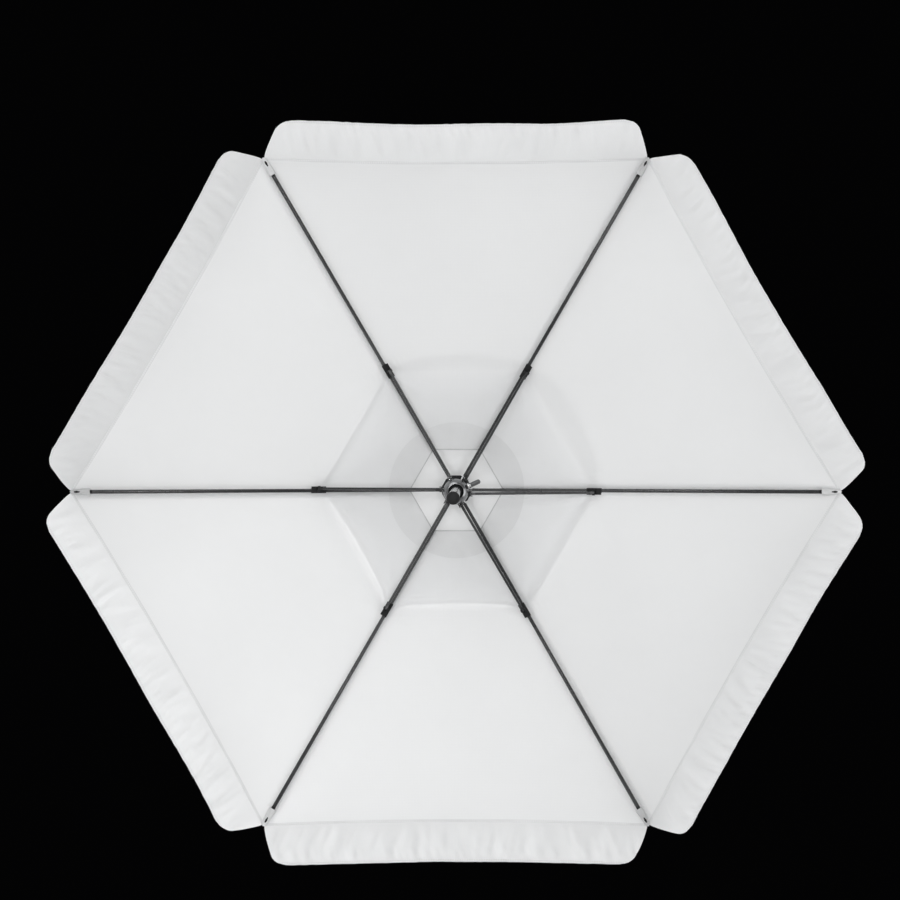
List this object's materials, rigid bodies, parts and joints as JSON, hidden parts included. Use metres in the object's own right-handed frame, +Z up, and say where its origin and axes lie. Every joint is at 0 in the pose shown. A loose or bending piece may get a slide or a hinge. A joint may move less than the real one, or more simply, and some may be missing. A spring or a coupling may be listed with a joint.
{
  "type": "garden parasol",
  "caption": "Vented hexagonal garden parasol on its upper pole, with folding ribs and stretchers, a sliding runner, a clamp screw and a valance.",
  "frame": {"origin": "centre of the flat lower face of the pole's end plug", "axes": "+Z up along the pole, +X along the first rib"},
  "size_m": [2.407, 2.169, 1.207],
  "materials": {
    "charcoal_steel": "charcoal powder coat, satin",
    "silver_alloy": "satin silver aluminium",
    "bright_steel": "bright zinc-plated steel",
    "black_plastic": "moulded black nylon, fine texture",
    "grey_plastic": "moulded mid-grey plastic",
    "white_fabric": "plain-woven white polyester, lets light through"
  },
  "bodies": {
    "root": {"pole": "silver_alloy", "pole_end_plug": "black_plastic", "crown_hub": "black_plastic", "crown_wire_ring": "bright_steel", "crown_cap": "black_plastic", "vent_cap": "white_fabric"},
    "runner": {"runner_collar": "black_plastic", "runner_bell": "silver_alloy", "clamp_nut": "bright_steel"},
    "clamp": {"clamp_screw": "bright_steel", "clamp_knob": "grey_plastic"},
    "rib_1": {"rib_1": "charcoal_steel", "rib_tip_1": "black_plastic", "rib_bracket_1": "black_plastic", "bracket_rivet_1": "charcoal_steel", "canopy_gore_1": "white_fabric"},
    "stretcher_1": {"stretcher_1": "charcoal_steel"},
    "rib_2": {"rib_2": "charcoal_steel", "rib_tip_2": "black_plastic", "rib_bracket_2": "black_plastic", "bracket_rivet_2": "charcoal_steel", "canopy_gore_2": "white_fabric"},
    "stretcher_2": {"stretcher_2": "charcoal_steel"},
    "rib_3": {"rib_3": "charcoal_steel", "rib_tip_3": "black_plastic", "rib_bracket_3": "black_plastic", "bracket_rivet_3": "charcoal_steel", "canopy_gore_3": "white_fabric"},
    "stretcher_3": {"stretcher_3": "charcoal_steel"},
    "rib_4": {"rib_4": "charcoal_steel", "rib_tip_4": "black_plastic", "rib_bracket_4": "black_plastic", "bracket_rivet_4": "charcoal_steel", "canopy_gore_4": "white_fabric"},
    "stretcher_4": {"stretcher_4": "charcoal_steel"},
    "rib_5": {"rib_5": "charcoal_steel", "rib_tip_5": "black_plastic", "rib_bracket_5": "black_plastic", "bracket_rivet_5": "charcoal_steel", "canopy_gore_5": "white_fabric"},
    "stretcher_5": {"stretcher_5": "charcoal_steel"},
    "rib_6": {"rib_6": "charcoal_steel", "rib_tip_6": "black_plastic", "rib_bracket_6": "black_plastic", "bracket_rivet_6": "charcoal_steel", "canopy_gore_6": "white_fabric"},
    "stretcher_6": {"stretcher_6": "charcoal_steel"},
    "valance_1_right": {"valance_1_right": "white_fabric"},
    "valance_1_left": {"valance_1_left": "white_fabric"},
    "valance_2_right": {"valance_2_right": "white_fabric"},
    "valance_2_left": {"valance_2_left": "white_fabric"},
    "valance_3_right": {"valance_3_right": "white_fabric"},
    "valance_3_left": {"valance_3_left": "white_fabric"},
    "valance_4_right": {"valance_4_right": "white_fabric"},
    "valance_4_left": {"valance_4_left": "white_fabric"},
    "valance_5_right": {"valance_5_right": "white_fabric"},
    "valance_5_left": {"valance_5_left": "white_fabric"},
    "valance_6_right": {"valance_6_right": "white_fabric"},
    "valance_6_left": {"valance_6_left": "white_fabric"}
  },
  "joints": [
    {"name": "runner_slide", "type": "slide", "parent": "root", "child": "runner", "axis": [0, 0, 1], "range_m": [-0.56996, 0], "deforming": ["vent_cap"]},
    {"name": "clamp_turn", "type": "hinge", "parent": "runner", "child": "clamp", "pos_m": [0.04568, -0.02034, 0.78409], "axis": [0.9135, -0.4067, 0], "range_deg": [-270, 0]},
    {"name": "rib_1_fold", "type": "hinge", "parent": "root", "child": "rib_1", "pos_m": [0.046, 0, 1.16], "axis": [0, 1, 0], "range_deg": [0, 67.81], "deforming": ["canopy_gore_1"]},
    {"name": "stretcher_1_fold", "type": "hinge", "parent": "rib_1", "child": "stretcher_1", "pos_m": [0.47002, 0.007, 0.98705], "axis": [0, 1, 0], "range_deg": [-135.62, 0]},
    {"name": "rib_2_fold", "type": "hinge", "parent": "root", "child": "rib_2", "pos_m": [0.023, 0.03984, 1.16], "axis": [-0.866, 0.5, 0], "range_deg": [0, 67.81], "deforming": ["canopy_gore_2"]},
    {"name": "stretcher_2_fold", "type": "hinge", "parent": "rib_2", "child": "stretcher_2", "pos_m": [0.22895, 0.41055, 0.98705], "axis": [-0.866, 0.5, 0], "range_deg": [-135.62, 0]},
    {"name": "rib_3_fold", "type": "hinge", "parent": "root", "child": "rib_3", "pos_m": [-0.023, 0.03984, 1.16], "axis": [-0.866, -0.5, 0], "range_deg": [0, 67.81], "deforming": ["canopy_gore_3"]},
    {"name": "stretcher_3_fold", "type": "hinge", "parent": "rib_3", "child": "stretcher_3", "pos_m": [-0.24107, 0.40355, 0.98705], "axis": [-0.866, -0.5, 0], "range_deg": [-135.62, 0]},
    {"name": "rib_4_fold", "type": "hinge", "parent": "root", "child": "rib_4", "pos_m": [-0.046, 0, 1.16], "axis": [0, -1, 0], "range_deg": [0, 67.81], "deforming": ["canopy_gore_4"]},
    {"name": "stretcher_4_fold", "type": "hinge", "parent": "rib_4", "child": "stretcher_4", "pos_m": [-0.47002, -0.007, 0.98705], "axis": [0, -1, 0], "range_deg": [-135.62, 0]},
    {"name": "rib_5_fold", "type": "hinge", "parent": "root", "child": "rib_5", "pos_m": [-0.023, -0.03984, 1.16], "axis": [0.866, -0.5, 0], "range_deg": [0, 67.81], "deforming": ["canopy_gore_5"]},
    {"name": "stretcher_5_fold", "type": "hinge", "parent": "rib_5", "child": "stretcher_5", "pos_m": [-0.22895, -0.41055, 0.98705], "axis": [0.866, -0.5, 0], "range_deg": [-135.62, 0]},
    {"name": "rib_6_fold", "type": "hinge", "parent": "root", "child": "rib_6", "pos_m": [0.023, -0.03984, 1.16], "axis": [0.866, 0.5, 0], "range_deg": [0, 67.81], "deforming": ["canopy_gore_6"]},
    {"name": "stretcher_6_fold", "type": "hinge", "parent": "rib_6", "child": "stretcher_6", "pos_m": [0.24107, -0.40355, 0.98705], "axis": [0.866, 0.5, 0], "range_deg": [-135.62, 0]},
    {"name": "valance_1_right_lift", "type": "hinge", "parent": "rib_1", "child": "valance_1_right", "pos_m": [1.2, 0, 0.75062], "axis": [-0.5, 0.866, 0], "range_deg": [-51.21, 0], "deforming": ["valance_1_right"]},
    {"name": "valance_1_left_lift", "type": "hinge", "parent": "rib_2", "child": "valance_1_left", "pos_m": [0.6, 1.03923, 0.75062], "axis": [-0.5, 0.866, 0], "range_deg": [-51.21, 0], "deforming": ["valance_1_left"]},
    {"name": "valance_2_right_lift", "type": "hinge", "parent": "rib_2", "child": "valance_2_right", "pos_m": [0.6, 1.03923, 0.75062], "axis": [-1, 0, 0], "range_deg": [-51.21, 0], "deforming": ["valance_2_right"]},
    {"name": "valance_2_left_lift", "type": "hinge", "parent": "rib_3", "child": "valance_2_left", "pos_m": [-0.6, 1.03923, 0.75062], "axis": [-1, 0, 0], "range_deg": [-51.21, 0], "deforming": ["valance_2_left"]},
    {"name": "valance_3_right_lift", "type": "hinge", "parent": "rib_3", "child": "valance_3_right", "pos_m": [-0.6, 1.03923, 0.75062], "axis": [-0.5, -0.866, 0], "range_deg": [-51.21, 0], "deforming": ["valance_3_right"]},
    {"name": "valance_3_left_lift", "type": "hinge", "parent": "rib_4", "child": "valance_3_left", "pos_m": [-1.2, 0, 0.75062], "axis": [-0.5, -0.866, 0], "range_deg": [-51.21, 0], "deforming": ["valance_3_left"]},
    {"name": "valance_4_right_lift", "type": "hinge", "parent": "rib_4", "child": "valance_4_right", "pos_m": [-1.2, 0, 0.75062], "axis": [0.5, -0.866, 0], "range_deg": [-51.21, 0], "deforming": ["valance_4_right"]},
    {"name": "valance_4_left_lift", "type": "hinge", "parent": "rib_5", "child": "valance_4_left", "pos_m": [-0.6, -1.03923, 0.75062], "axis": [0.5, -0.866, 0], "range_deg": [-51.21, 0], "deforming": ["valance_4_left"]},
    {"name": "valance_5_right_lift", "type": "hinge", "parent": "rib_5", "child": "valance_5_right", "pos_m": [-0.6, -1.03923, 0.75062], "axis": [1, 0, 0], "range_deg": [-51.21, 0], "deforming": ["valance_5_right"]},
    {"name": "valance_5_left_lift", "type": "hinge", "parent": "rib_6", "child": "valance_5_left", "pos_m": [0.6, -1.03923, 0.75062], "axis": [1, 0, 0], "range_deg": [-51.21, 0], "deforming": ["valance_5_left"]},
    {"name": "valance_6_right_lift", "type": "hinge", "parent": "rib_6", "child": "valance_6_right", "pos_m": [0.6, -1.03923, 0.75062], "axis": [0.5, 0.866, 0], "range_deg": [-51.21, 0], "deforming": ["valance_6_right"]},
    {"name": "valance_6_left_lift", "type": "hinge", "parent": "rib_1", "child": "valance_6_left", "pos_m": [1.2, 0, 0.75062], "axis": [0.5, 0.866, 0], "range_deg": [-51.21, 0], "deforming": ["valance_6_left"]}
  ],
  "couplings": [
    {"joint": "rib_1_fold", "follows": "runner_slide", "rad_per_m": -2.0765},
    {"joint": "stretcher_1_fold", "follows": "runner_slide", "rad_per_m": 4.1529},
    {"joint": "rib_2_fold", "follows": "runner_slide", "rad_per_m": -2.0765},
    {"joint": "stretcher_2_fold", "follows": "runner_slide", "rad_per_m": 4.1529},
    {"joint": "rib_3_fold", "follows": "runner_slide", "rad_per_m": -2.0765},
    {"joint": "stretcher_3_fold", "follows": "runner_slide", "rad_per_m": 4.1529},
    {"joint": "rib_4_fold", "follows": "runner_slide", "rad_per_m": -2.0765},
    {"joint": "stretcher_4_fold", "follows": "runner_slide", "rad_per_m": 4.1529},
    {"joint": "rib_5_fold", "follows": "runner_slide", "rad_per_m": -2.0765},
    {"joint": "stretcher_5_fold", "follows": "runner_slide", "rad_per_m": 4.1529},
    {"joint": "rib_6_fold", "follows": "runner_slide", "rad_per_m": -2.0765},
    {"joint": "stretcher_6_fold", "follows": "runner_slide", "rad_per_m": 4.1529},
    {"joint": "valance_1_right_lift", "follows": "runner_slide", "rad_per_m": 1.568},
    {"joint": "valance_1_left_lift", "follows": "runner_slide", "rad_per_m": 1.568},
    {"joint": "valance_2_right_lift", "follows": "runner_slide", "rad_per_m": 1.568},
    {"joint": "valance_2_left_lift", "follows": "runner_slide", "rad_per_m": 1.568},
    {"joint": "valance_3_right_lift", "follows": "runner_slide", "rad_per_m": 1.568},
    {"joint": "valance_3_left_lift", "follows": "runner_slide", "rad_per_m": 1.568},
    {"joint": "valance_4_right_lift", "follows": "runner_slide", "rad_per_m": 1.568},
    {"joint": "valance_4_left_lift", "follows": "runner_slide", "rad_per_m": 1.568},
    {"joint": "valance_5_right_lift", "follows": "runner_slide", "rad_per_m": 1.568},
    {"joint": "valance_5_left_lift", "follows": "runner_slide", "rad_per_m": 1.568},
    {"joint": "valance_6_right_lift", "follows": "runner_slide", "rad_per_m": 1.568},
    {"joint": "valance_6_left_lift", "follows": "runner_slide", "rad_per_m": 1.568}
  ]
}
